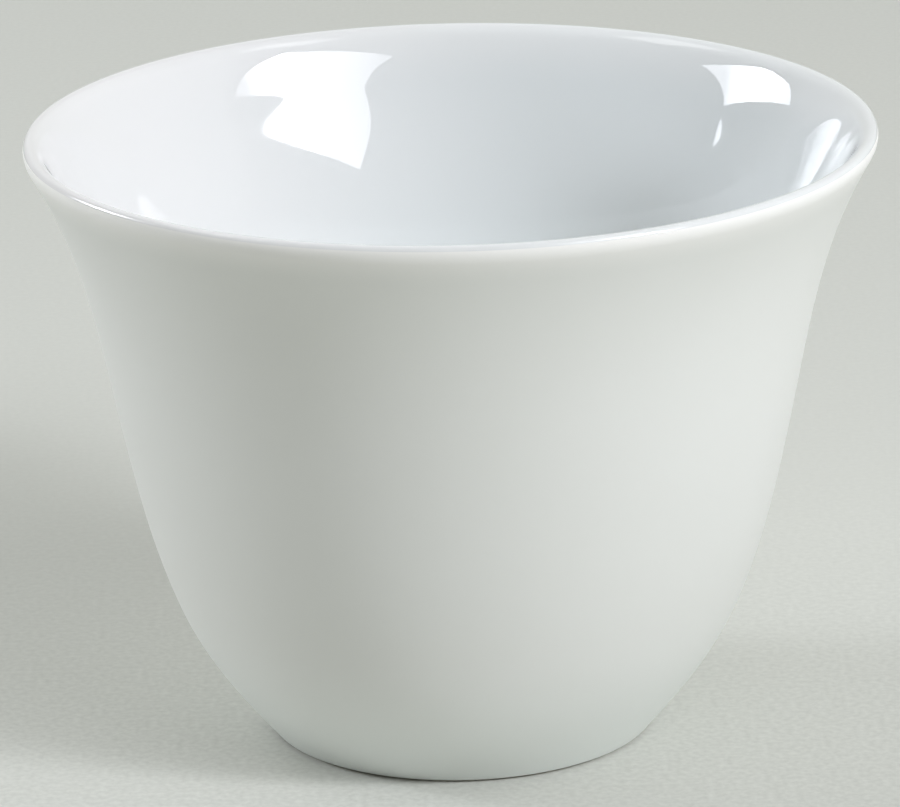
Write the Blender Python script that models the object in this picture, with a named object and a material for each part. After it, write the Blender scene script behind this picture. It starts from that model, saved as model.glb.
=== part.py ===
"""Porcelain sake cup: a bell-shaped body turned in one piece, and the glaze coats fired onto it.

Metres, +Z up. The origin is the centre of the foot on the table, and +Z is the turning axis.
Every coat is a solid of its own, with a thin bond gap between it and the clay.
"""

import math

import bpy
from mathutils import Vector

# Driving dimensions of the outside, in metres. The slopes are the wall's rise above the horizontal.
MOUTH_DIAMETER = 0.0700
HEIGHT = 0.0513
WAIST_DIAMETER = 0.0549
WAIST_HEIGHT = 0.0250
BELLY_DIAMETER = 0.0478
BELLY_HEIGHT = 0.0122
FOOT_DIAMETER = 0.0322
LIP_SLOPE = math.radians(60.0)
WAIST_SLOPE = math.radians(78.0)
BELLY_SLOPE = math.radians(69.0)
FOOT_SLOPE = math.radians(50.0)

# Lip: a half ellipse on the wall's end. The gloss coat ends at an angle round it, from its outer side.
LIP_THICKNESS = 0.0015
LIP_REACH = 0.0013
GLOSS_EDGE = math.radians(62.0)

# Wall, from the lip down to the floor, coats included. The bowl has two more stations across from the
# flare, the collar under the lip and the throat below it, each at a share of the flare from the waist up.
COLLAR_WALL = 0.001321
COLLAR_SHARE = 0.844
COLLAR_SLOPE = math.radians(67.5)
THROAT_WALL = 0.001716
THROAT_SHARE = 0.576
THROAT_SLOPE = math.radians(68.0)
WAIST_WALL = 0.00244
BELLY_WALL = 0.0028
FLOOR_THICKNESS = 0.0032

# Foot: a bare ring round a shallow recess
FOOT_EDGE = 0.00025
RING_EDGE_ROUND = 0.0004
RING_WIDTH = 0.0024
RING_INNER_ROUND = 0.0006
RECESS_DEPTH = 0.0016

# Coats, and the gap that parts each of them from the clay and from its neighbour
GLAZE_THICKNESS = 0.0002
BOND_GAP = 0.00005
RECESS_GLAZE_MARGIN = 0.0003

# How far a Bezier handle reaches, as a share of its chord
WALL_HANDLE = 0.36
FLOOR_HANDLE = 0.50
COLLAR_HANDLE = 0.52
LIP_HANDLE = 0.22

# Resolution of the turned solids
TURN_STEPS = 48
RUN_STEPS = 4
FLARE_STEPS = 7
BOWL_STEPS = 6
COLLAR_STEPS = 3
LIP_STEPS = 8
EDGE_STEPS = 3

# The clay lies under a coat and its bond gap.
CLAY_DEPTH = GLAZE_THICKNESS + BOND_GAP


class Station:
    """A point of a turned profile with the direction in which the profile leaves it."""

    def __init__(self, radius, height, slope):
        self.point = Vector((radius, height))
        self.along = Vector((math.cos(slope), math.sin(slope)))

    @property
    def outward(self):
        """Unit normal on the outer side: out of the cup on a wall, down on a floor."""
        return Vector((self.along.y, -self.along.x))

    def moved(self, distance):
        """The same station, moved along its outward normal."""
        copy = Station(0.0, 0.0, 0.0)
        copy.point = self.point + self.outward * distance
        copy.along = self.along.copy()
        return copy


def run_station(start, end, start_handle, end_handle, t):
    """Station at a share t of the Bezier curve from start to end."""
    reach = (end.point - start.point).length
    p0 = start.point
    p1 = start.point + start.along * start_handle * reach
    p2 = end.point - end.along * end_handle * reach
    p3 = end.point
    s = 1.0 - t
    point = p0 * s**3 + p1 * 3 * s * s * t + p2 * 3 * s * t * t + p3 * t**3
    tangent = (p1 - p0) * s * s + (p2 - p1) * 2 * s * t + (p3 - p2) * t * t
    return Station(point.x, point.y, math.atan2(tangent.y, tangent.x))


def run_between(start, end, start_handle, end_handle, steps):
    """Stations along the Bezier curve from start to end, the last one left out."""
    return [run_station(start, end, start_handle, end_handle, step / steps) for step in range(steps)]


def lip_middle():
    """Middle of the lip's half ellipse, which touches the mouth's diameter and the cup's height."""
    half = LIP_THICKNESS / 2
    out = math.hypot(half * math.sin(LIP_SLOPE), LIP_REACH * math.cos(LIP_SLOPE))
    up = math.hypot(half * math.cos(LIP_SLOPE), LIP_REACH * math.sin(LIP_SLOPE))
    return Station(MOUTH_DIAMETER / 2 - out, HEIGHT - up, LIP_SLOPE)


def wall_stations():
    """The named stations of the outside wall above the foot: belly, waist and lip."""
    belly = Station(BELLY_DIAMETER / 2, BELLY_HEIGHT, BELLY_SLOPE)
    waist = Station(WAIST_DIAMETER / 2, WAIST_HEIGHT, WAIST_SLOPE)
    return belly, waist, lip_middle().moved(LIP_THICKNESS / 2)


def outside():
    """Stations of the cup's outside, from the foot up to the lip."""
    foot = Station(FOOT_DIAMETER / 2, FOOT_EDGE, FOOT_SLOPE)
    belly, waist, lip = wall_stations()
    stations = run_between(foot, belly, WALL_HANDLE, WALL_HANDLE, RUN_STEPS)
    stations += run_between(belly, waist, WALL_HANDLE, WALL_HANDLE, RUN_STEPS)
    stations += run_between(waist, lip, WALL_HANDLE, WALL_HANDLE, FLARE_STEPS)
    return stations + [lip]


def across_flare(share, wall, slope):
    """Station of the bowl across the wall from a share of the outside's flare, with a slope of its own."""
    _, waist, lip = wall_stations()
    inner = run_station(waist, lip, WALL_HANDLE, WALL_HANDLE, share).moved(-wall)
    return Station(inner.point.x, inner.point.y, slope)


def bowl():
    """Stations of the cup's inside, from the middle of the floor up to the lip."""
    belly, waist, lip = wall_stations()
    middle = Station(0.0, RECESS_DEPTH + FLOOR_THICKNESS, 0.0)
    belly_in = belly.moved(-BELLY_WALL)
    waist_in = waist.moved(-WAIST_WALL)
    throat = across_flare(THROAT_SHARE, THROAT_WALL, THROAT_SLOPE)
    collar = across_flare(COLLAR_SHARE, COLLAR_WALL, COLLAR_SLOPE)
    lip_in = lip.moved(-LIP_THICKNESS)
    stations = run_between(middle, belly_in, FLOOR_HANDLE, WALL_HANDLE, BOWL_STEPS)
    stations += run_between(belly_in, waist_in, WALL_HANDLE, WALL_HANDLE, RUN_STEPS)
    stations += run_between(waist_in, throat, WALL_HANDLE, WALL_HANDLE, RUN_STEPS)
    stations += run_between(throat, collar, WALL_HANDLE, WALL_HANDLE, COLLAR_STEPS)
    stations += run_between(collar, lip_in, COLLAR_HANDLE, LIP_HANDLE, COLLAR_STEPS)
    return stations + [lip_in]


def shifted(stations, distance):
    """Points at a distance from the stations along their outward normals."""
    return [station.point + station.outward * distance for station in stations]


def lip_arc(depth, first, last):
    """Points at a depth under the lip's skin, between two angles round it; the inner side is at pi."""
    middle = lip_middle()
    half = LIP_THICKNESS / 2
    points = []
    for step in range(LIP_STEPS + 1):
        angle = first + (last - first) * step / LIP_STEPS
        out = math.cos(angle)
        up = math.sin(angle)
        skin = middle.point + middle.outward * half * out + middle.along * LIP_REACH * up
        normal = middle.outward * out / half + middle.along * up / LIP_REACH
        points.append(skin - normal.normalized() * depth)
    return points


def matt_edge():
    """Angle round the lip at which the matt coat starts, a bond gap past the gloss coat's edge."""
    speed = math.hypot(LIP_THICKNESS / 2 * math.sin(GLOSS_EDGE), LIP_REACH * math.cos(GLOSS_EDGE))
    return GLOSS_EDGE - BOND_GAP / speed


def quarter_round(start, corner, end):
    """Rounds off a corner between two points, both left out."""
    points = []
    for step in range(1, EDGE_STEPS):
        angle = math.pi / 2 * step / EDGE_STEPS
        from_start = (start - corner) * (1 - math.sin(angle))
        from_end = (end - corner) * (1 - math.cos(angle))
        points.append(corner + from_start + from_end)
    return points


def ring_inner_radius():
    """Inner radius of the bare ring that stands on the table."""
    skin = shifted(outside()[:1], -CLAY_DEPTH)[0]
    return skin.x - RING_EDGE_ROUND - RING_WIDTH


def foot_profile():
    """The clay's foot: rounded edge, flat bare ring, and recess up to the axis."""
    skin = shifted(outside()[:1], -CLAY_DEPTH)[0]
    edge = Vector((skin.x - RING_EDGE_ROUND, 0.0))
    points = quarter_round(skin, Vector((skin.x, 0.0)), edge)
    inner = ring_inner_radius()
    points += [edge, Vector((inner, 0.0))]
    ceiling = RECESS_DEPTH
    wall_top = Vector((inner, ceiling - RING_INNER_ROUND))
    turned_in = Vector((inner - RING_INNER_ROUND, ceiling))
    points.append(wall_top)
    points += quarter_round(wall_top, Vector((inner, ceiling)), turned_in)
    points += [turned_in, Vector((0.0, ceiling))]
    return points


def body_profile():
    """The clay: up the bowl, over the lip, down the outside and across the foot, axis to axis."""
    lip = lip_arc(CLAY_DEPTH, math.pi, 0.0)
    inner = shifted(bowl()[:-1], CLAY_DEPTH)
    outer = shifted(outside()[:-1], -CLAY_DEPTH)
    return inner + lip + outer[::-1] + foot_profile()


def inner_glaze_profile():
    """The gloss coat: up its free side and over the lip to its edge, and back down its clay side."""
    stations = bowl()[:-1]
    clay_side = shifted(stations, GLAZE_THICKNESS) + lip_arc(GLAZE_THICKNESS, math.pi, GLOSS_EDGE)
    free_side = shifted(stations, 0.0) + lip_arc(0.0, math.pi, GLOSS_EDGE)
    return free_side + clay_side[::-1]


def outer_glaze_profile():
    """The matt coat: down its free side from just past the gloss coat's edge, and back up its clay side."""
    stations = outside()[:-1]
    edge = matt_edge()
    clay_side = lip_arc(GLAZE_THICKNESS, edge, 0.0) + shifted(stations, -GLAZE_THICKNESS)[::-1]
    free_side = lip_arc(0.0, edge, 0.0) + shifted(stations, 0.0)[::-1]
    return free_side + clay_side[::-1]


def recess_glaze_profile():
    """The glaze patch under the recess ceiling: out along its clay side, down, and back in below."""
    clay_side = RECESS_DEPTH - BOND_GAP
    free_side = clay_side - GLAZE_THICKNESS
    radius = ring_inner_radius() - RING_INNER_ROUND - RECESS_GLAZE_MARGIN
    rim = Vector((radius, clay_side))
    toe = Vector((radius - GLAZE_THICKNESS, free_side))
    rounded = quarter_round(rim, Vector((radius, free_side)), toe)
    return [Vector((0.0, clay_side)), rim, *rounded, toe, Vector((0.0, free_side))]


def turned(name, profile, closed, material):
    """Turns a profile about +Z into a named solid.

    The profile runs down the outer side. A closed one is a ring's section, and an open one starts and
    ends on the axis.
    """
    edges = [(i, i + 1) for i in range(len(profile) - 1)]
    if closed:
        edges.append((len(profile) - 1, 0))
    mesh = bpy.data.meshes.new(name)
    mesh.from_pydata([(p.x, 0.0, p.y) for p in profile], edges, [])
    mesh.materials.append(material)
    solid = bpy.data.objects.new(name, mesh)
    bpy.context.scene.collection.objects.link(solid)
    screw = solid.modifiers.new("turn", "SCREW")
    screw.axis = "Z"
    screw.steps = TURN_STEPS
    screw.render_steps = TURN_STEPS
    screw.use_merge_vertices = True
    screw.merge_threshold = 0.000001
    screw.use_smooth_shade = True
    return solid


def finish(name, colour, roughness, coat):
    """A ceramic finish: linear colour, roughness, and the weight of a clear gloss layer."""
    material = bpy.data.materials.new(name)
    material.use_nodes = True
    shader = material.node_tree.nodes["Principled BSDF"]
    shader.inputs["Base Color"].default_value = (*colour, 1.0)
    shader.inputs["Roughness"].default_value = roughness
    shader.inputs["Metallic"].default_value = 0.0
    shader.inputs["Coat Weight"].default_value = coat
    return material


def main():
    """Clears the scene and builds the clay body and its coats."""
    for old in list(bpy.data.objects):
        bpy.data.objects.remove(old, do_unlink=True)
    clay = finish("bare_porcelain", (0.80, 0.78, 0.73), 0.65, 0.0)
    matt = finish("matt_white_glaze", (0.83, 0.84, 0.81), 0.50, 0.0)
    gloss = finish("clear_gloss_glaze", (0.80, 0.84, 0.86), 0.06, 0.4)
    patch = finish("clear_gloss_glaze_under_foot", (0.80, 0.84, 0.86), 0.10, 0.4)
    cup = bpy.data.objects.new("sake_cup", None)
    bpy.context.scene.collection.objects.link(cup)
    solids = [
        turned("porcelain_body", body_profile(), False, clay),
        turned("outer_matt_glaze", outer_glaze_profile(), True, matt),
        turned("inner_gloss_glaze", inner_glaze_profile(), False, gloss),
        turned("foot_recess_glaze", recess_glaze_profile(), False, patch),
    ]
    for solid in solids:
        solid.parent = cup


main()
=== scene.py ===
"""Porcelain sake cup, dressed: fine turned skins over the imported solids, ceramic finishes, studio and camera.

Metres, +Z up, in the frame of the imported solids: the origin is the centre of the foot on the table.
"""

import logging
import math
from dataclasses import dataclass
from enum import Enum
from typing import Any, Callable, Sequence

import bpy
import numpy as np
from mathutils import Matrix, Vector

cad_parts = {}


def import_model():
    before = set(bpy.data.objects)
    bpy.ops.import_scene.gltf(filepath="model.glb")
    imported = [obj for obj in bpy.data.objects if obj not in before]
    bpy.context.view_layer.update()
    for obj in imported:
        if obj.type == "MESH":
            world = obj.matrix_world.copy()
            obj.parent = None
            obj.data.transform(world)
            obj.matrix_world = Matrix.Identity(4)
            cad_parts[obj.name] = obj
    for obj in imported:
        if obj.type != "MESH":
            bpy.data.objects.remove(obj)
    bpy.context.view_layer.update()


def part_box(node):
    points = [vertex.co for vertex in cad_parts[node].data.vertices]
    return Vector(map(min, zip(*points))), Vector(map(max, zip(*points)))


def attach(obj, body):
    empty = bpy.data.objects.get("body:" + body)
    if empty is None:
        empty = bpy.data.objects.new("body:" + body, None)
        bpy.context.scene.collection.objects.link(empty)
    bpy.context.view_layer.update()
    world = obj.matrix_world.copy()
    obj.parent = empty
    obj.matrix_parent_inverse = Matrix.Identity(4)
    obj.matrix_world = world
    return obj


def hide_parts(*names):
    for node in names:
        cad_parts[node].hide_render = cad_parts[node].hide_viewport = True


LOG = logging.getLogger("sake_cup")
MM = 0.001
IMAGE_LONG_SIDE = 900
SENSOR_WIDTH_MM = 36.0
BODY = "root"
SHARP_ANGLE = math.radians(30.0)
CERAMIC_IOR = 1.5
SMOOTH = {"interpolation_type": "SMOOTHSTEP"}

Relief = Callable[[np.ndarray, np.ndarray], np.ndarray]


class Side(Enum):
    """Which side of the wall a skin lies on, as the sign of its normals."""

    OUTSIDE = 1.0
    BOWL = -1.0


class Section(Enum):
    """How a turned profile closes: as a ring's own section, or by both its ends on the axis."""

    RING = "ring"
    AXIS_TO_AXIS = "axis to axis"


def linear(hex_colour: str) -> tuple[float, float, float, float]:
    """Turns an sRGB hex value into a linear colour.

    Args:
        hex_colour: Six hex digits, such as "E6ECEF".

    Returns:
        Linear red, green and blue, and an alpha of one.
    """
    shares = [int(hex_colour[i : i + 2], 16) / 255 for i in (0, 2, 4)]
    red, green, blue = [c / 12.92 if c <= 0.04045 else ((c + 0.055) / 1.055) ** 2.4 for c in shares]
    return red, green, blue, 1.0


def add_node(tree: bpy.types.NodeTree, kind: str, settings: dict[str, Any] | None = None,
             inputs: dict[Any, Any] | None = None) -> bpy.types.Node:
    """Adds a node with its settings, and sets or links its inputs.

    Args:
        tree: The node tree that gets the node.
        kind: The node's type, without the leading "ShaderNode".
        settings: Attributes of the node by name.
        inputs: Input sockets by name or number; a socket is linked, and anything else is set as a value.

    Returns:
        The new node.
    """
    node = tree.nodes.new("ShaderNode" + kind)
    for name, value in (settings or {}).items():
        setattr(node, name, value)
    for name, value in (inputs or {}).items():
        if isinstance(value, bpy.types.NodeSocket):
            tree.links.new(value, node.inputs[name])
        else:
            node.inputs[name].default_value = value
    return node


def new_tree(name: str) -> tuple[bpy.types.Material, bpy.types.NodeTree]:
    """Starts a material with an empty node tree.

    Args:
        name: The material's name.

    Returns:
        The material and its tree.
    """
    material = bpy.data.materials.new(name)
    material.use_nodes = True
    material.node_tree.nodes.clear()
    return material, material.node_tree


def per_mm(size_mm: float) -> float:
    """Texture scale at which one pattern cell spans a real size in millimetres."""
    return 1.0 / (size_mm * MM)


@dataclass(frozen=True)
class Station:
    """A point of a turned profile and the slope at which the profile leaves it."""

    radius: float
    height: float
    slope: float

    @property
    def point(self) -> np.ndarray:
        """Radius and height as an array."""
        return np.array([self.radius, self.height])

    @property
    def along(self) -> np.ndarray:
        """Unit direction of the profile, from the foot to the lip."""
        return np.array([math.cos(self.slope), math.sin(self.slope)])

    @property
    def outward(self) -> np.ndarray:
        """Unit normal on the outer side: out of the cup on a wall, down on a floor."""
        return np.array([math.sin(self.slope), -math.cos(self.slope)])

    def moved(self, distance: float) -> "Station":
        """The same station, moved along its outward normal."""
        radius, height = self.point + self.outward * distance
        return Station(radius, height, self.slope)


@dataclass
class Skin:
    """Points of a profile with their normals, which point out of the porcelain."""

    points: np.ndarray
    normals: np.ndarray

    def under(self, depth: float) -> np.ndarray:
        """The points at a depth under the skin."""
        return self.points - self.normals * depth

    def __add__(self, other: "Skin") -> "Skin":
        """This skin continued by another."""
        return Skin(np.vstack([self.points, other.points]), np.vstack([self.normals, other.normals]))


@dataclass(frozen=True)
class Run:
    """A Bezier curve between two stations, with its handles as shares of the chord."""

    start: Station
    end: Station
    start_handle: float = 0.36
    end_handle: float = 0.36

    def follow(self, shares: np.ndarray) -> tuple[np.ndarray, np.ndarray]:
        """Follows the curve.

        Args:
            shares: Shares of the way from the start to the end.

        Returns:
            The points there, and the unit directions of the curve.
        """
        p0, p3 = self.start.point, self.end.point
        reach = float(np.linalg.norm(p3 - p0))
        p1 = p0 + self.start.along * self.start_handle * reach
        p2 = p3 - self.end.along * self.end_handle * reach
        t = shares[:, None]
        s = 1.0 - t
        points = p0 * s**3 + p1 * 3 * s * s * t + p2 * 3 * s * t * t + p3 * t**3
        tangents = (p1 - p0) * s * s + (p2 - p1) * 2 * s * t + (p3 - p2) * t * t
        return points, tangents / np.linalg.norm(tangents, axis=1, keepdims=True)

    def station(self, share: float) -> Station:
        """The station at a share of the way along the curve."""
        points, along = self.follow(np.array([share]))
        return Station(points[0, 0], points[0, 1], math.atan2(along[0, 1], along[0, 0]))

    def skin(self, side: Side, steps: int) -> Skin:
        """The curve as a skin, its end left out.

        Args:
            side: Which side of the wall the skin lies on.
            steps: How many steps the curve takes.

        Returns:
            The skin's points and normals.
        """
        points, along = self.follow(np.arange(steps) / steps)
        return Skin(points, np.stack([along[:, 1], -along[:, 0]], axis=1) * side.value)


@dataclass(frozen=True)
class Lip:
    """The half ellipse that ends the wall: its middle, half its thickness, and its reach past the wall."""

    middle: Station
    half: float
    reach: float

    def arc(self, first: float, last: float, steps: int) -> Skin:
        """Follows the lip's skin.

        Args:
            first: Angle round the lip where the arc starts, 0 on the outer side and pi on the inner side.
            last: Angle where it ends.
            steps: How many steps the arc takes.

        Returns:
            The arc's points and normals, both ends included.
        """
        angles = np.linspace(first, last, steps + 1)[:, None]
        out, up = np.cos(angles), np.sin(angles)
        outward, along = self.middle.outward, self.middle.along
        points = self.middle.point + outward * self.half * out + along * self.reach * up
        normals = outward * out / self.half + along * up / self.reach
        return Skin(points, normals / np.linalg.norm(normals, axis=1, keepdims=True))


@dataclass(frozen=True)
class CupForm:
    """The cup's turned form. Mouth and height come from the frame, and the rest are the solids' own sizes."""

    mouth_radius: float
    height: float
    foot_edge: float
    waist: Station = Station(27.45 * MM, 25.0 * MM, math.radians(78.0))
    belly: Station = Station(23.90 * MM, 12.2 * MM, math.radians(69.0))
    foot_radius: float = 16.1 * MM
    foot_slope: float = math.radians(50.0)
    lip_slope: float = math.radians(60.0)
    lip_thickness: float = 1.5 * MM
    lip_reach: float = 1.3 * MM
    gloss_edge: float = math.radians(62.0)
    collar_wall: float = 1.321 * MM
    collar_share: float = 0.844
    collar_slope: float = math.radians(67.5)
    throat_wall: float = 1.716 * MM
    throat_share: float = 0.576
    throat_slope: float = math.radians(68.0)
    waist_wall: float = 2.44 * MM
    belly_wall: float = 2.8 * MM
    floor_thickness: float = 3.2 * MM
    floor_handle: float = 0.50
    collar_handle: float = 0.52
    lip_handle: float = 0.22
    recess_depth: float = 1.6 * MM
    glaze_thickness: float = 0.2 * MM
    bond_gap: float = 0.05 * MM

    @classmethod
    def from_frame(cls) -> "CupForm":
        """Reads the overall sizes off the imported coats.

        Returns:
            The form at those sizes.
        """
        low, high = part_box("outer_matt_glaze")
        _, gloss_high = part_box("inner_gloss_glaze")
        return cls(mouth_radius=(high.x - low.x) / 2, height=gloss_high.z, foot_edge=low.z)

    @property
    def lip(self) -> Lip:
        """The lip, which touches the mouth's width and the cup's height.

        Returns:
            The lip.
        """
        half = self.lip_thickness / 2
        out = math.hypot(half * math.sin(self.lip_slope), self.lip_reach * math.cos(self.lip_slope))
        up = math.hypot(half * math.cos(self.lip_slope), self.lip_reach * math.sin(self.lip_slope))
        middle = Station(self.mouth_radius - out, self.height - up, self.lip_slope)
        return Lip(middle, half, self.lip_reach)

    @property
    def flare(self) -> Run:
        """The outside between the waist and the lip."""
        return Run(self.waist, self.lip.middle.moved(self.lip_thickness / 2))

    @property
    def clay_depth(self) -> float:
        """How deep the clay lies under a coat's skin."""
        return self.glaze_thickness + self.bond_gap

    def across_flare(self, share: float, wall: float, slope: float) -> Station:
        """A station of the bowl across the wall from the outside's flare.

        Args:
            share: Share of the way up the flare.
            wall: The wall's thickness there.
            slope: The bowl's own slope there.

        Returns:
            The station.
        """
        inner = self.flare.station(share).moved(-wall)
        return Station(inner.radius, inner.height, slope)

    def outside(self, steps: int) -> Skin:
        """The outside skin from the foot up to the lip, which is left out.

        Args:
            steps: Steps on each run between two stations.

        Returns:
            The skin.
        """
        foot = Station(self.foot_radius, self.foot_edge, self.foot_slope)
        skin = Run(foot, self.belly).skin(Side.OUTSIDE, steps)
        skin += Run(self.belly, self.waist).skin(Side.OUTSIDE, steps)
        return skin + self.flare.skin(Side.OUTSIDE, steps)

    def bowl(self, steps: int) -> Skin:
        """The inside skin from the middle of the floor up to the lip, which is left out.

        Args:
            steps: Steps on each run between two stations.

        Returns:
            The skin.
        """
        middle = Station(0.0, self.recess_depth + self.floor_thickness, 0.0)
        belly = self.belly.moved(-self.belly_wall)
        waist = self.waist.moved(-self.waist_wall)
        throat = self.across_flare(self.throat_share, self.throat_wall, self.throat_slope)
        collar = self.across_flare(self.collar_share, self.collar_wall, self.collar_slope)
        lip = self.lip.middle.moved(-self.lip_thickness / 2)
        skin = Run(middle, belly, self.floor_handle).skin(Side.BOWL, steps)
        for start, end in ((belly, waist), (waist, throat), (throat, collar)):
            skin += Run(start, end).skin(Side.BOWL, steps)
        return skin + Run(collar, lip, self.collar_handle, self.lip_handle).skin(Side.BOWL, steps)


@dataclass
class Turning:
    """Turns a profile about +Z into a mesh object."""

    segments: int

    def turn(self, name: str, profile: np.ndarray, section: Section, relief: Relief | None = None,
             moving: int = 0) -> bpy.types.Object:
        """Builds a turned solid.

        Args:
            name: The object's name.
            profile: Radius and height of the profile's points, down the outer side.
            section: How the profile closes.
            relief: Height of the surface's relief by angle and by share of the moving points.
            moving: How many of the profile's first points the relief moves.

        Returns:
            The new object, smooth shaded and linked to the scene.
        """
        angles = np.arange(self.segments) * 2 * math.pi / self.segments
        radius = np.repeat(profile[:, :1], self.segments, axis=1)
        height = np.repeat(profile[:, 1:], self.segments, axis=1)
        if relief is not None:
            lift = relief(angles[None, :], np.linspace(0.0, 1.0, moving)[:, None])
            normals = self.profile_normals(profile)[:moving]
            radius[:moving] += lift * normals[:, :1]
            height[:moving] += lift * normals[:, 1:]
        rings = np.stack([radius * np.cos(angles), radius * np.sin(angles), height], axis=-1)
        mesh = bpy.data.meshes.new(name)
        if section is Section.RING:
            mesh.from_pydata(rings.reshape(-1, 3).tolist(), [], self.bands(np.arange(len(rings)), True))
        else:
            between = rings[1:-1].reshape(-1, 3).tolist()
            bands = self.bands(np.arange(len(rings) - 2), False)
            start, end = len(between), len(between) + 1
            last = len(between) - self.segments
            after = np.roll(np.arange(self.segments), -1).tolist()
            fans = [(start, j, i) for i, j in enumerate(after)]
            fans += [(last + i, last + j, end) for i, j in enumerate(after)]
            mesh.from_pydata(between + [rings[0, 0].tolist(), rings[-1, 0].tolist()], [], bands + fans)
        mesh.update()
        mesh.shade_smooth()
        mesh.set_sharp_from_angle(angle=SHARP_ANGLE)
        obj = bpy.data.objects.new(name, mesh)
        bpy.context.scene.collection.objects.link(obj)
        return obj

    def bands(self, rows: np.ndarray, around: bool) -> list[tuple[int, int, int, int]]:
        """Faces between neighbouring rings of points.

        Args:
            rows: Numbers of the rings, in order.
            around: Whether the last ring joins the first again.

        Returns:
            The faces' corners.
        """
        after = np.roll(np.arange(self.segments), -1).tolist()
        pairs = list(zip(rows, np.roll(rows, -1)))
        faces = []
        for low, high in pairs if around else pairs[:-1]:
            a, b = int(low) * self.segments, int(high) * self.segments
            faces += [(a + i, a + j, b + j, b + i) for i, j in enumerate(after)]
        return faces

    @staticmethod
    def profile_normals(profile: np.ndarray) -> np.ndarray:
        """Finds the normals of a profile that runs down its outer side.

        Args:
            profile: Radius and height of the profile's points.

        Returns:
            Unit normals that point out of the solid.
        """
        along = np.gradient(profile, axis=0)
        along /= np.linalg.norm(along, axis=1, keepdims=True)
        return np.stack([-along[:, 1], along[:, 0]], axis=1)


@dataclass(frozen=True)
class MattGlaze:
    """Matt white glaze, sprayed and fired: a dry, even white with a faint sheen and a rare dark pinhole.

    The wall thins towards the lip, and the light that passes through it there is painted in as a lighter
    tone. The tone is also painted whiter and cooler towards the foot, as painted light bounced up from
    the floor.
    """

    lip_height: float
    colour: str = "E8E9E5"
    drift_colour: str = "E4E5E0"
    # Painted light: a lighter tone near the lip stands for light passing through the thin wall.
    painted_lip_glow_colour: str = "F8F7F3"
    # Painted light: a whiter, cooler tone towards the foot stands for light bounced up from the floor.
    painted_floor_bounce_colour: str = "EDF1ED"
    speck_colour: str = "8C877D"
    glow_reach: float = 3.6 * MM
    painted_bounce_reach: float = 15.0 * MM
    drift_mm: float = 22.0
    # The glaze's own crystals are too fine to show, so their grain is drawn coarser.
    grain_mm: float = 0.35
    grain_height: float = 0.004 * MM
    roughness: tuple[float, float] = (0.46, 0.58)
    # A pinhole is a dot in the middle of a cell, and only cells whose random share passes a bar have one.
    speck_spacing_mm: float = 7.0
    speck_radius_mm: float = 0.084
    speck_bar: float = 0.93

    def material(self) -> bpy.types.Material:
        """Builds the glaze's material.

        Returns:
            The material.
        """
        material, tree = new_tree("matt_white_glaze")
        place = add_node(tree, "TexCoord").outputs["Object"]
        height = add_node(tree, "SeparateXYZ", None, {"Vector": place}).outputs["Z"]
        drift = add_node(tree, "TexNoise", None, {
            "Vector": place, "Scale": per_mm(self.drift_mm), "Detail": 2.0})
        tone = add_node(tree, "MixRGB", None, {
            "Fac": drift.outputs["Fac"], "Color1": linear(self.colour), "Color2": linear(self.drift_colour)})
        # Painted bounce light from the floor, faded in towards the foot.
        painted_bounce_fade = add_node(tree, "MapRange", SMOOTH, {
            "Value": height, "From Min": self.painted_bounce_reach, "From Max": 0.0})
        coat = add_node(tree, "MixRGB", None, {
            "Fac": painted_bounce_fade.outputs[0], "Color1": tone.outputs[0], "Color2": linear(self.painted_floor_bounce_colour)})
        # Painted light passing through the thin lip, faded in towards the lip.
        glow = add_node(tree, "MapRange", SMOOTH, {
            "Value": height, "From Min": self.lip_height - self.glow_reach, "From Max": self.lip_height})
        wall = add_node(tree, "MixRGB", None, {
            "Fac": glow.outputs[0], "Color1": coat.outputs[0], "Color2": linear(self.painted_lip_glow_colour)})
        cells = add_node(tree, "TexVoronoi", None, {
            "Vector": place, "Scale": per_mm(self.speck_spacing_mm)})
        dot = add_node(tree, "Math", {"operation": "LESS_THAN"}, {
            0: cells.outputs["Distance"], 1: self.speck_radius_mm / self.speck_spacing_mm})
        pick = add_node(tree, "SeparateColor", None, {"Color": cells.outputs["Color"]})
        few = add_node(tree, "Math", {"operation": "GREATER_THAN"}, {0: pick.outputs[0], 1: self.speck_bar})
        speck = add_node(tree, "Math", {"operation": "MULTIPLY"}, {0: dot.outputs[0], 1: few.outputs[0]})
        colour = add_node(tree, "MixRGB", None, {
            "Fac": speck.outputs[0], "Color1": wall.outputs[0], "Color2": linear(self.speck_colour)})
        grain = add_node(tree, "TexNoise", None, {
            "Vector": place, "Scale": per_mm(self.grain_mm), "Detail": 3.0})
        rough = add_node(tree, "MapRange", None, {
            "Value": grain.outputs["Fac"], "To Min": self.roughness[0], "To Max": self.roughness[1]})
        bump = add_node(tree, "Bump", None, {
            "Height": grain.outputs["Fac"], "Strength": 0.15, "Distance": self.grain_height})
        shader = add_node(tree, "BsdfPrincipled", None, {
            "Base Color": colour.outputs[0], "Roughness": rough.outputs[0], "IOR": CERAMIC_IOR,
            "Normal": bump.outputs[0]})
        add_node(tree, "OutputMaterial", None, {"Surface": shader.outputs[0]})
        return material


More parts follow.
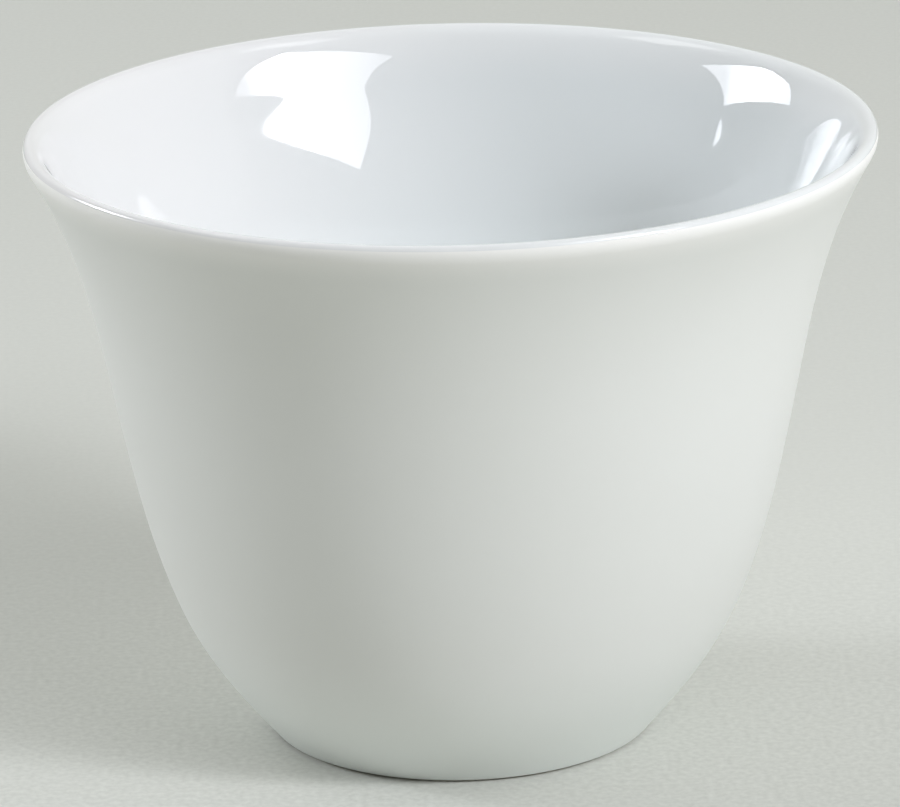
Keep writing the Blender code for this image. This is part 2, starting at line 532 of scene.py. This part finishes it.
@dataclass(frozen=True)
class GlossGlaze:
    """Clear gloss glaze over white clay, poured and fired: wet-looking, bluer where it pools.

    Its tone changes up the wall, layer by layer, each faded in between two heights. The top layer is a
    painted lighter tone near the rim, for light passing through the thin rim. It is also painted whiter on
    the left side of the bowl, where the key light falls inside it.
    """

    name: str
    pool_colour: str = "DBE4E5"
    # Painted light: the top layer is a lighter tone near the rim, for light passing through the thin rim.
    layers: Sequence[tuple[float, float, str]] = (
        (5.0 * MM, 20.0 * MM, "E6EBEB"),
        (30.0 * MM, 40.0 * MM, "E0E4E4"),
        (46.5 * MM, 51.0 * MM, "E7E9E8"),
    )
    # Painted light: a whiter tone on the left side of the bowl, where the key light falls.
    painted_lit_side_colour: str = "EBEAE9"
    painted_lit_side_span: tuple[float, float] = (14.0 * MM, -34.0 * MM)
    smear_mm: float = 12.0
    roughness: tuple[float, float] = (0.012, 0.025)
    peel_mm: float = 3.0
    peel_height: float = 0.010 * MM

    def material(self) -> bpy.types.Material:
        """Builds the glaze's material.

        Returns:
            The material.
        """
        material, tree = new_tree(self.name)
        place = add_node(tree, "TexCoord").outputs["Object"]
        axes = add_node(tree, "SeparateXYZ", None, {"Vector": place})
        tone: Any = linear(self.pool_colour)
        for low, high, colour in self.layers:
            fade = add_node(tree, "MapRange", SMOOTH, {
                "Value": axes.outputs["Z"], "From Min": low, "From Max": high})
            tone = add_node(tree, "MixRGB", None, {
                "Fac": fade.outputs[0], "Color1": tone, "Color2": linear(colour)}).outputs[0]
        # Painted light, faded in towards the left side of the bowl.
        painted_lit_side_fade = add_node(tree, "MapRange", SMOOTH, {
            "Value": axes.outputs["X"], "From Min": self.painted_lit_side_span[0], "From Max": self.painted_lit_side_span[1]})
        tone = add_node(tree, "MixRGB", None, {
            "Fac": painted_lit_side_fade.outputs[0], "Color1": tone, "Color2": linear(self.painted_lit_side_colour)}).outputs[0]
        smear = add_node(tree, "TexNoise", None, {
            "Vector": place, "Scale": per_mm(self.smear_mm), "Detail": 2.0})
        rough = add_node(tree, "MapRange", None, {
            "Value": smear.outputs["Fac"], "To Min": self.roughness[0], "To Max": self.roughness[1]})
        peel = add_node(tree, "TexNoise", None, {
            "Vector": place, "Scale": per_mm(self.peel_mm), "Detail": 1.0})
        bump = add_node(tree, "Bump", None, {
            "Height": peel.outputs["Fac"], "Strength": 0.10, "Distance": self.peel_height})
        shader = add_node(tree, "BsdfPrincipled", None, {
            "Base Color": tone, "Roughness": rough.outputs[0], "IOR": CERAMIC_IOR,
            "Normal": bump.outputs[0]})
        add_node(tree, "OutputMaterial", None, {"Surface": shader.outputs[0]})
        return material


@dataclass(frozen=True)
class BareClay:
    """Bare porcelain, fired and ground flat: warm, chalky white, rubbed a little grey where it stands."""

    colour: str = "E9E5DB"
    rub_colour: str = "D3CEC4"
    rub_mm: float = 2.5
    rub_band: tuple[float, float] = (0.5, 0.75)
    # Porcelain's own grit is too fine to show, so it is drawn coarser.
    grit_mm: float = 0.25
    grit_height: float = 0.015 * MM
    roughness: tuple[float, float] = (0.62, 0.78)

    def material(self) -> bpy.types.Material:
        """Builds the clay's material.

        Returns:
            The material.
        """
        material, tree = new_tree("bare_porcelain")
        place = add_node(tree, "TexCoord").outputs["Object"]
        rub = add_node(tree, "TexNoise", None, {
            "Vector": place, "Scale": per_mm(self.rub_mm), "Detail": 4.0})
        worn = add_node(tree, "MapRange", None, {
            "Value": rub.outputs["Fac"], "From Min": self.rub_band[0], "From Max": self.rub_band[1]})
        colour = add_node(tree, "MixRGB", None, {
            "Fac": worn.outputs[0], "Color1": linear(self.colour), "Color2": linear(self.rub_colour)})
        grit = add_node(tree, "TexNoise", None, {
            "Vector": place, "Scale": per_mm(self.grit_mm), "Detail": 3.0})
        rough = add_node(tree, "MapRange", None, {
            "Value": grit.outputs["Fac"], "To Min": self.roughness[0], "To Max": self.roughness[1]})
        bump = add_node(tree, "Bump", None, {
            "Height": grit.outputs["Fac"], "Strength": 0.4, "Distance": self.grit_height})
        shader = add_node(tree, "BsdfPrincipled", None, {
            "Base Color": colour.outputs[0], "Roughness": rough.outputs[0], "IOR": CERAMIC_IOR,
            "Normal": bump.outputs[0]})
        add_node(tree, "OutputMaterial", None, {"Surface": shader.outputs[0]})
        return material


@dataclass(frozen=True)
class PaperFloor:
    """Pale grey-beige backdrop paper: fully matt, a fine mottle of fibres that evens out farther back."""

    even_colour: str = "CFD0C9"
    light_fibre: str = "DFE0D9"
    dark_fibre: str = "BEBFB8"
    # Single fibres are too fine to show, so the mottle is drawn coarser.
    fibre_mm: float = 0.6
    fibre_height: float = 0.03 * MM
    mottled_to: float = -15.0 * MM
    even_from: float = 70.0 * MM
    far_mottle: float = 0.25

    def material(self) -> bpy.types.Material:
        """Builds the paper's material.

        Returns:
            The material.
        """
        material, tree = new_tree("backdrop_paper")
        place = add_node(tree, "TexCoord").outputs["Object"]
        depth = add_node(tree, "SeparateXYZ", None, {"Vector": place}).outputs["Y"]
        fibre = add_node(tree, "TexNoise", None, {
            "Vector": place, "Scale": per_mm(self.fibre_mm), "Detail": 4.0})
        mottle = add_node(tree, "MixRGB", None, {
            "Fac": fibre.outputs["Fac"], "Color1": linear(self.light_fibre),
            "Color2": linear(self.dark_fibre)})
        near = add_node(tree, "MapRange", SMOOTH, {
            "Value": depth, "From Min": self.even_from, "From Max": self.mottled_to,
            "To Min": self.far_mottle})
        colour = add_node(tree, "MixRGB", None, {
            "Fac": near.outputs[0], "Color1": linear(self.even_colour), "Color2": mottle.outputs[0]})
        bump = add_node(tree, "Bump", None, {
            "Height": fibre.outputs["Fac"], "Strength": 0.25, "Distance": self.fibre_height})
        shader = add_node(tree, "BsdfPrincipled", None, {
            "Base Color": colour.outputs[0], "Roughness": 0.9, "Specular IOR Level": 0.1,
            "Normal": bump.outputs[0]})
        add_node(tree, "OutputMaterial", None, {"Surface": shader.outputs[0]})
        return material


@dataclass
class Piece:
    """A visible piece of the cup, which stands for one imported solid."""

    form: CupForm
    name: str
    node: str
    slot: str

    def settle(self, obj: bpy.types.Object, material: bpy.types.Material) -> bpy.types.Object:
        """Gives the piece its finish and its place in the frame.

        Args:
            obj: The piece's object.
            material: Its finish.

        Returns:
            The same object.
        """
        obj.data.materials.append(material)
        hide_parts(self.node)
        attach(obj, BODY)
        LOG.info("%s stands for %s: %d faces", obj.name, self.node, len(obj.data.polygons))
        return obj


@dataclass
class GlossLining(Piece):
    """The gloss coat inside the bowl, which runs onto the top of the lip.

    Its skin is gently waved. A wave has a height, its crests round the bowl, and its lean and start as
    angles.
    """

    segments: int = 256
    fine_steps: int = 32
    coarse_steps: int = 8
    lip_steps: int = 24
    flow_waves: Sequence[tuple[float, int, float, float]] = (
        (0.0060 * MM, 3, 5.0, 0.0),
        (0.0036 * MM, 7, -9.0, 1.3),
    )

    def flow(self, angle: np.ndarray, share: np.ndarray) -> np.ndarray:
        """Gentle waves of the glaze, left by its flow as it was poured.

        Args:
            angle: Angle round the axis.
            share: Share of the way from the middle of the floor over the lip.

        Returns:
            Height of the waves above the even skin.
        """
        waves = sum(height * np.sin(crests * angle + lean * share + start)
                    for height, crests, lean, start in self.flow_waves)
        return waves * np.sin(math.pi * share) ** 2

    def build(self) -> bpy.types.Object:
        """Builds the lining: up its free side, over the lip to its edge, and back down its clay side.

        Returns:
            The new object.
        """
        form = self.form
        lip = form.lip.arc(math.pi, form.gloss_edge, self.lip_steps)
        free = form.bowl(self.fine_steps) + lip
        back = form.bowl(self.coarse_steps) + lip
        profile = np.vstack([free.points, back.under(form.glaze_thickness)[::-1]])
        turning = Turning(self.segments)
        return turning.turn(self.name, profile, Section.AXIS_TO_AXIS, self.flow, len(free.points))

    def dress(self, obj: bpy.types.Object) -> bpy.types.Object:
        """Dresses the lining in clear gloss glaze."""
        return self.settle(obj, GlossGlaze("clear_gloss_glaze").material())


@dataclass
class MattCoat(Piece):
    """The matt coat on the outside, from the gloss coat's edge on the lip down to the foot."""

    segments: int = 256
    fine_steps: int = 40
    coarse_steps: int = 8
    lip_steps: int = 12

    def build(self) -> bpy.types.Object:
        """Builds the coat: down its free side, and back up its clay side.

        Returns:
            The new object.
        """
        form = self.form
        lip = form.lip.arc(0.0, form.gloss_edge, self.lip_steps)
        free = form.outside(self.fine_steps) + lip
        back = form.outside(self.coarse_steps) + lip
        profile = np.vstack([free.points[::-1], back.under(form.glaze_thickness)])
        return Turning(self.segments).turn(self.name, profile, Section.RING)

    def dress(self, obj: bpy.types.Object) -> bpy.types.Object:
        """Dresses the coat in matt white glaze."""
        return self.settle(obj, MattGlaze(self.form.height).material())


@dataclass
class ClayBody(Piece):
    """The clay under the coats, bare only on the ring that stands on the table."""

    segments: int = 192
    wall_steps: int = 10
    lip_steps: int = 20
    edge_steps: int = 8
    ring_edge_round: float = 0.4 * MM
    ring_width: float = 2.4 * MM
    ring_inner_round: float = 0.6 * MM

    def rounded(self, start: np.ndarray, corner: np.ndarray, end: np.ndarray) -> np.ndarray:
        """Rounds off a corner.

        Args:
            start: Where the round starts.
            corner: The sharp corner.
            end: Where the round ends.

        Returns:
            Points of the round, its ends included.
        """
        angles = np.linspace(0.0, math.pi / 2, self.edge_steps + 1)[:, None]
        return corner + (start - corner) * (1 - np.sin(angles)) + (end - corner) * (1 - np.cos(angles))

    def foot(self, skin: np.ndarray) -> np.ndarray:
        """The foot's profile, from its outer skin to the axis.

        Args:
            skin: The lowest point of the clay's outside.

        Returns:
            The points after that one.
        """
        edge = np.array([skin[0] - self.ring_edge_round, 0.0])
        inner = edge[0] - self.ring_width
        ceiling = self.form.recess_depth
        inner_round = self.ring_inner_round
        outer = self.rounded(skin, np.array([skin[0], 0.0]), edge)[1:]
        recess = self.rounded(np.array([inner, ceiling - inner_round]), np.array([inner, ceiling]),
                              np.array([inner - inner_round, ceiling]))
        return np.vstack([outer, [[inner, 0.0]], recess, [[0.0, ceiling]]])

    def build(self) -> bpy.types.Object:
        """Builds the clay: up the bowl, over the lip, down the outside and across the foot.

        Returns:
            The new object.
        """
        depth = self.form.clay_depth
        inner = self.form.bowl(self.wall_steps) + self.form.lip.arc(math.pi, 0.0, self.lip_steps)
        outer = self.form.outside(self.wall_steps).under(depth)[::-1]
        profile = np.vstack([inner.under(depth), outer, self.foot(outer[-1])])
        return Turning(self.segments).turn(self.name, profile, Section.AXIS_TO_AXIS)

    def dress(self, obj: bpy.types.Object) -> bpy.types.Object:
        """Dresses the body in bare clay."""
        return self.settle(obj, BareClay().material())


@dataclass
class RecessPatch(Piece):
    """The patch of gloss glaze in the recess under the foot."""

    segments: int = 192
    edge_steps: int = 6

    def build(self) -> bpy.types.Object:
        """Builds the patch: out along its clay side, round its edge, and back in below.

        Returns:
            The new object.
        """
        low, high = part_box(self.node)
        radius = (high.x - low.x) / 2
        thickness = high.z - low.z
        angles = np.linspace(0.0, math.pi / 2, self.edge_steps + 1)
        edge_radius = radius - thickness * (1 - np.cos(angles))
        edge_height = high.z - thickness * np.sin(angles)
        edge = np.stack([edge_radius, edge_height], axis=1)
        profile = np.vstack([[[0.0, high.z]], edge, [[0.0, low.z]]])
        return Turning(self.segments).turn(self.name, profile, Section.AXIS_TO_AXIS)

    def dress(self, obj: bpy.types.Object) -> bpy.types.Object:
        """Dresses the patch in clear gloss glaze."""
        return self.settle(obj, GlossGlaze("clear_gloss_glaze_under_foot").material())


@dataclass(frozen=True)
class Lamp:
    """A lamp behind a diffuser: its direction and its glow's reach, both in degrees, and its strength."""

    azimuth: float
    elevation: float
    reach: float
    strength: float


@dataclass(frozen=True)
class Softbox:
    """A flat studio light, given by the directions of its corners as the cup sees them.

    Its cloth glows evenly, or more brightly in front of each lamp that stands behind it.
    """

    name: str
    corners: Sequence[tuple[float, float]]
    strength: float
    lamps: Sequence[Lamp] = ()
    colour: str = "FFFFFF"
    distance: float = 0.9
    target_height: float = 45.0 * MM

    def spot(self, azimuth: float, elevation: float) -> Vector:
        """The place of a point that the cup sees in a direction.

        Args:
            azimuth: Degrees from the camera's side, to the right.
            elevation: Degrees above the level.

        Returns:
            The point, at the light's distance from the cup.
        """
        a, e = math.radians(azimuth), math.radians(elevation)
        toward = Vector((math.sin(a) * math.cos(e), -math.cos(a) * math.cos(e), math.sin(e)))
        return toward * self.distance + Vector((0.0, 0.0, self.target_height))

    @property
    def peak(self) -> float:
        """Strength of the cloth's brightest spot."""
        return max([self.strength] + [lamp.strength for lamp in self.lamps])

    def cloth_colour(self, strength: float) -> tuple[float, float, float, float]:
        """The cloth's colour where it glows at a strength.

        Args:
            strength: The strength there.

        Returns:
            The linear colour, dimmed to a share of the brightest spot.
        """
        red, green, blue, alpha = linear(self.colour)
        share = strength / self.peak
        return red * share, green * share, blue * share, alpha

    def diffuser(self) -> bpy.types.Material:
        """Builds the glowing cloth.

        Returns:
            The material.
        """
        material, tree = new_tree(self.name + "_diffuser")
        tone: Any = self.cloth_colour(self.strength)
        for lamp in self.lamps:
            place = add_node(tree, "TexCoord").outputs["Object"]
            away = add_node(tree, "VectorMath", {"operation": "DISTANCE"}, {
                0: place, 1: self.spot(lamp.azimuth, lamp.elevation)})
            near = add_node(tree, "MapRange", SMOOTH, {
                "Value": away.outputs["Value"], "From Min": self.distance * math.radians(lamp.reach),
                "From Max": 0.0})
            tone = add_node(tree, "MixRGB", None, {
                "Fac": near.outputs[0], "Color1": tone,
                "Color2": self.cloth_colour(lamp.strength)}).outputs[0]
        glow = add_node(tree, "Emission", None, {"Color": tone, "Strength": self.peak})
        add_node(tree, "OutputMaterial", None, {"Surface": glow.outputs[0]})
        return material

    def build(self) -> bpy.types.Object:
        """Builds the light as a glowing panel that the camera doesn't see.

        Returns:
            The panel.
        """
        mesh = bpy.data.meshes.new(self.name)
        points = [self.spot(azimuth, elevation) for azimuth, elevation in self.corners]
        mesh.from_pydata(points, [], [tuple(range(len(points)))])
        mesh.materials.append(self.diffuser())
        panel = bpy.data.objects.new(self.name, mesh)
        panel.visible_camera = False
        bpy.context.scene.collection.objects.link(panel)
        return panel


@dataclass
class Studio:
    """Floor, room light and softboxes.

    The room's tones blend by direction. The ceiling fades in between two shares of straight up, and the
    paper sweep up to a share of straight back.
    """

    floor_half: float = 4.0
    ceiling: str = "B4B6B4"
    ceiling_band: tuple[float, float] = (0.5, 0.9)
    paper_sweep: str = "D8DAD6"
    sweep_share: float = 0.7
    dim_side: str = "6C6D6C"

    def softboxes(self) -> list[Softbox]:
        """Lists the lights: key on the right in front, fill on the left behind, two overhead, and pale cards.

        Returns:
            The lights.
        """
        return [
            Softbox("key_light", ((18.0, 35.7), (56.3, 37.8), (71.6, 24.2), (32.6, 27.4)), 3.0,
                    (Lamp(42.0, 32.0, 27.0, 8.0), Lamp(55.0, 31.5, 12.5, 63.0)), "F6F8FF"),
            Softbox("fill_light",
                    ((-85.3, 27.0), (-94.9, 18.1), (-121.5, 11.4), (-119.8, 16.7), (-110.6, 24.9)), 6.6,
                    (Lamp(-107.5, 20.0, 14.0, 33.0),), "F4F7FF"),
            Softbox("right_overhead_light",
                    ((50.0, 46.0), (80.0, 46.0), (85.0, 60.0), (45.0, 60.0)), 3.0),
            Softbox("left_overhead_light",
                    ((-80.0, 46.0), (-120.0, 46.0), (-125.0, 60.0), (-75.0, 60.0)), 2.8),
            Softbox("right_card", ((73.0, 36.0), (120.0, 36.0), (120.0, 6.0), (76.0, 6.0)), 0.6),
            Softbox("back_left_card", ((-124.0, 30.0), (-155.0, 30.0), (-155.0, 4.0), (-124.0, 4.0)), 0.7),
        ]

    def floor(self) -> bpy.types.Object:
        """Builds the paper that the cup stands on.

        Returns:
            The floor.
        """
        half = self.floor_half
        corners = [(-half, -half, 0.0), (half, -half, 0.0), (half, half, 0.0), (-half, half, 0.0)]
        mesh = bpy.data.meshes.new("paper_floor")
        mesh.from_pydata(corners, [], [(0, 1, 2, 3)])
        mesh.materials.append(PaperFloor().material())
        floor = bpy.data.objects.new("paper_floor", mesh)
        bpy.context.scene.collection.objects.link(floor)
        return floor

    def world(self) -> None:
        """Sets the soft light of the room: pale overhead and behind the cup, dim elsewhere."""
        world = bpy.data.worlds.new("studio")
        world.use_nodes = True
        tree = world.node_tree
        tree.nodes.clear()
        place = add_node(tree, "TexCoord").outputs["Generated"]
        toward = add_node(tree, "SeparateXYZ", None, {"Vector": place})
        back = add_node(tree, "MapRange", SMOOTH, {
            "Value": toward.outputs["Y"], "From Max": self.sweep_share})
        up = add_node(tree, "MapRange", SMOOTH, {
            "Value": toward.outputs["Z"], "From Min": self.ceiling_band[0], "From Max": self.ceiling_band[1]})
        around = add_node(tree, "MixRGB", None, {
            "Fac": back.outputs[0], "Color1": linear(self.dim_side), "Color2": linear(self.paper_sweep)})
        room = add_node(tree, "MixRGB", None, {
            "Fac": up.outputs[0], "Color1": around.outputs[0], "Color2": linear(self.ceiling)})
        glow = add_node(tree, "Background", None, {"Color": room.outputs[0]})
        add_node(tree, "OutputWorld", None, {"Surface": glow.outputs[0]})
        bpy.context.scene.world = world

    def build(self) -> None:
        """Builds the floor, the world and the lights."""
        self.floor()
        self.world()
        for box in self.softboxes():
            box.build()
            LOG.info("light %s", box.name)


@dataclass(frozen=True)
class PortraitCamera:
    """The camera at the photograph's viewing angle, fitted to the outline of the cup."""

    focal_px: float = 6000.0
    distance: float = 474.85 * MM
    height: float = 180.38 * MM
    pitch: float = math.radians(17.845)
    yaw: float = math.radians(-0.061)
    roll: float = math.radians(-1.273)
    nearest: float = 10.0 * MM
    farthest: float = 50.0

    def build(self) -> bpy.types.Object:
        """Builds the camera and makes it the scene's own.

        Returns:
            The camera.
        """
        data = bpy.data.cameras.new("portrait_camera")
        data.sensor_width = SENSOR_WIDTH_MM
        data.lens = self.focal_px * SENSOR_WIDTH_MM / IMAGE_LONG_SIDE
        data.clip_start = self.nearest
        data.clip_end = self.farthest
        ahead = math.cos(self.pitch)
        forward = Vector((math.sin(self.yaw) * ahead, math.cos(self.yaw) * ahead, -math.sin(self.pitch)))
        level = Vector((math.cos(self.yaw), -math.sin(self.yaw), 0.0))
        upright = level.cross(forward)
        right = level * math.cos(self.roll) + upright * math.sin(self.roll)
        up = upright * math.cos(self.roll) - level * math.sin(self.roll)
        camera = bpy.data.objects.new("portrait_camera", data)
        turn = Matrix((right, up, -forward)).transposed().to_4x4()
        camera.matrix_world = Matrix.Translation((0.0, -self.distance, self.height)) @ turn
        bpy.context.scene.collection.objects.link(camera)
        bpy.context.scene.camera = camera
        return camera


def main() -> None:
    """Loads the frame, builds camera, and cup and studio."""
    logging.basicConfig(level=logging.INFO, format="%(name)s: %(message)s")
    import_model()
    bpy.context.scene.view_settings.view_transform = "Standard"
    PortraitCamera().build()
    form = CupForm.from_frame()
    pieces = [
        ClayBody(form, "clay_body", "porcelain_body", "bare_porcelain"),
        MattCoat(form, "matt_coat", "outer_matt_glaze", "matt_glaze"),
        GlossLining(form, "gloss_lining", "inner_gloss_glaze", "gloss_glaze"),
        RecessPatch(form, "recess_patch", "foot_recess_glaze", "recess_glaze"),
    ]
    for piece in pieces:
        piece.dress(piece.build())
    Studio().build()


if __name__ == "__main__":
    main()
